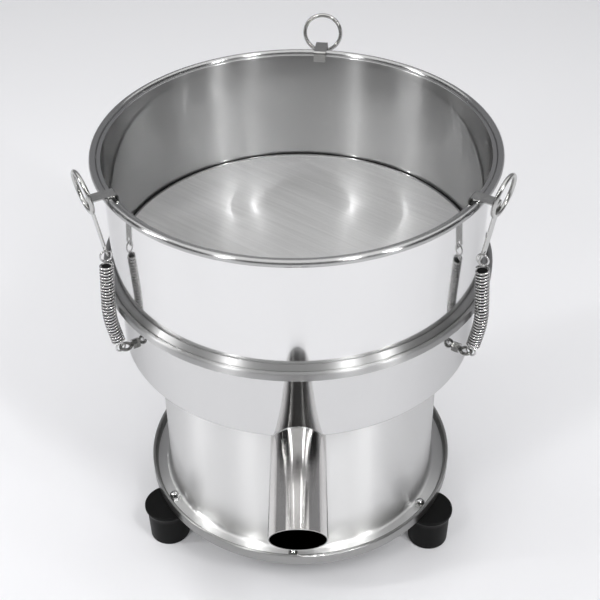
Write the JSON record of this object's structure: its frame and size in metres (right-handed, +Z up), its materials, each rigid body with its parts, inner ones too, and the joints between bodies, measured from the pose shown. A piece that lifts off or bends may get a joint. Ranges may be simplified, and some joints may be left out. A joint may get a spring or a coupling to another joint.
{
  "type": "vibrating sieve",
  "caption": "Electric vibrating sieve: round polished steel drum with a fine screen, sprung latches with pull rings, collecting pan with an outlet pipe, motor housing and rubber feet.",
  "frame": {"origin": "on the floor, under the middle of the round drum", "axes": "+Z up along the drum's axis, -Y out along the outlet pipe (the front), +X to the right seen from the front"},
  "size_m": [0.3099, 0.4108, 0.3846],
  "materials": {
    "polished_steel": "mirror polished stainless steel sheet with faint scratches",
    "brushed_steel": "satin stainless steel, brushed round the cylinder",
    "tray_steel": "stainless steel sheet, half polished",
    "satin_steel": "satin stainless steel strip and wire",
    "spring_steel": "bright spring wire",
    "steel_screen": "fine woven stainless steel wire cloth",
    "plated_steel": "bright zinc plated steel",
    "nut_chrome": "bright dome nuts",
    "black_rubber": "matt black rubber",
    "black_plastic": "moulded black plastic",
    "white_plastic": "moulded pale plastic",
    "plain_steel": "plain machined steel",
    "core_steel": "laminated electrical steel",
    "cast_aluminium": "as cast aluminium",
    "cast_iron": "plain cast iron"
  },
  "bodies": {
    "machine": {"anchor_eye_back": "plated_steel", "anchor_eye_left": "plated_steel", "anchor_eye_right": "plated_steel", "anchor_nuts": "plated_steel", "base_studs": "plated_steel", "base_tray": "tray_steel", "cable_gland": "black_plastic", "capacitor": "white_plastic", "capacitor_clip": "plain_steel", "collecting_pan": "polished_steel", "dome_nuts": "nut_chrome", "foot_back": "black_rubber", "foot_left": "black_rubber", "foot_right": "black_rubber", "foot_studs": "plated_steel", "gland_locknut": "black_plastic", "lower_bearing": "plain_steel", "lower_end_cover": "cast_aluminium", "motor_bolts": "plated_steel", "motor_can": "cast_aluminium", "motor_housing": "brushed_steel", "motor_plate": "plain_steel", "outlet_pipe": "polished_steel", "screen_clamp": "polished_steel", "screen_hoop": "polished_steel", "screen_mesh": "steel_screen", "screen_seal": "black_rubber", "seat_gasket": "black_rubber", "sieve_drum": "polished_steel", "spring_back": "spring_steel", "spring_left": "spring_steel", "spring_right": "spring_steel", "stator_core": "core_steel", "terminal_block": "black_plastic", "tie_bolts": "plated_steel", "upper_bearing": "plain_steel", "upper_end_cover": "cast_aluminium"},
    "rotor": {"motor_shaft": "plain_steel", "rotor_core": "core_steel", "lower_weight": "cast_iron", "upper_weight": "cast_iron", "weight_screws": "plated_steel"},
    "latch_left": {"hook_left": "satin_steel", "pull_ring_left": "satin_steel"},
    "latch_right": {"hook_right": "satin_steel", "pull_ring_right": "satin_steel"},
    "latch_back": {"hook_back": "satin_steel", "pull_ring_back": "satin_steel"}
  },
  "joints": [
    {"name": "rotor_spin", "type": "hinge", "parent": "machine", "child": "rotor", "pos_m": [0, 0, 0.1185], "axis": [0, 0, 1], "continuous": true},
    {"name": "latch_left_pull", "type": "slide", "parent": "machine", "child": "latch_left", "axis": [0, 0, 1], "range_m": [0, 0.014], "stiffness_N_per_m": 1300, "springref_m": -0.012, "deforming": ["spring_left"]},
    {"name": "latch_right_pull", "type": "slide", "parent": "machine", "child": "latch_right", "axis": [0, 0, 1], "range_m": [0, 0.014], "stiffness_N_per_m": 1300, "springref_m": -0.012, "deforming": ["spring_right"]},
    {"name": "latch_back_pull", "type": "slide", "parent": "machine", "child": "latch_back", "axis": [0, 0, 1], "range_m": [0, 0.014], "stiffness_N_per_m": 1300, "springref_m": -0.012, "deforming": ["spring_back"]}
  ]
}
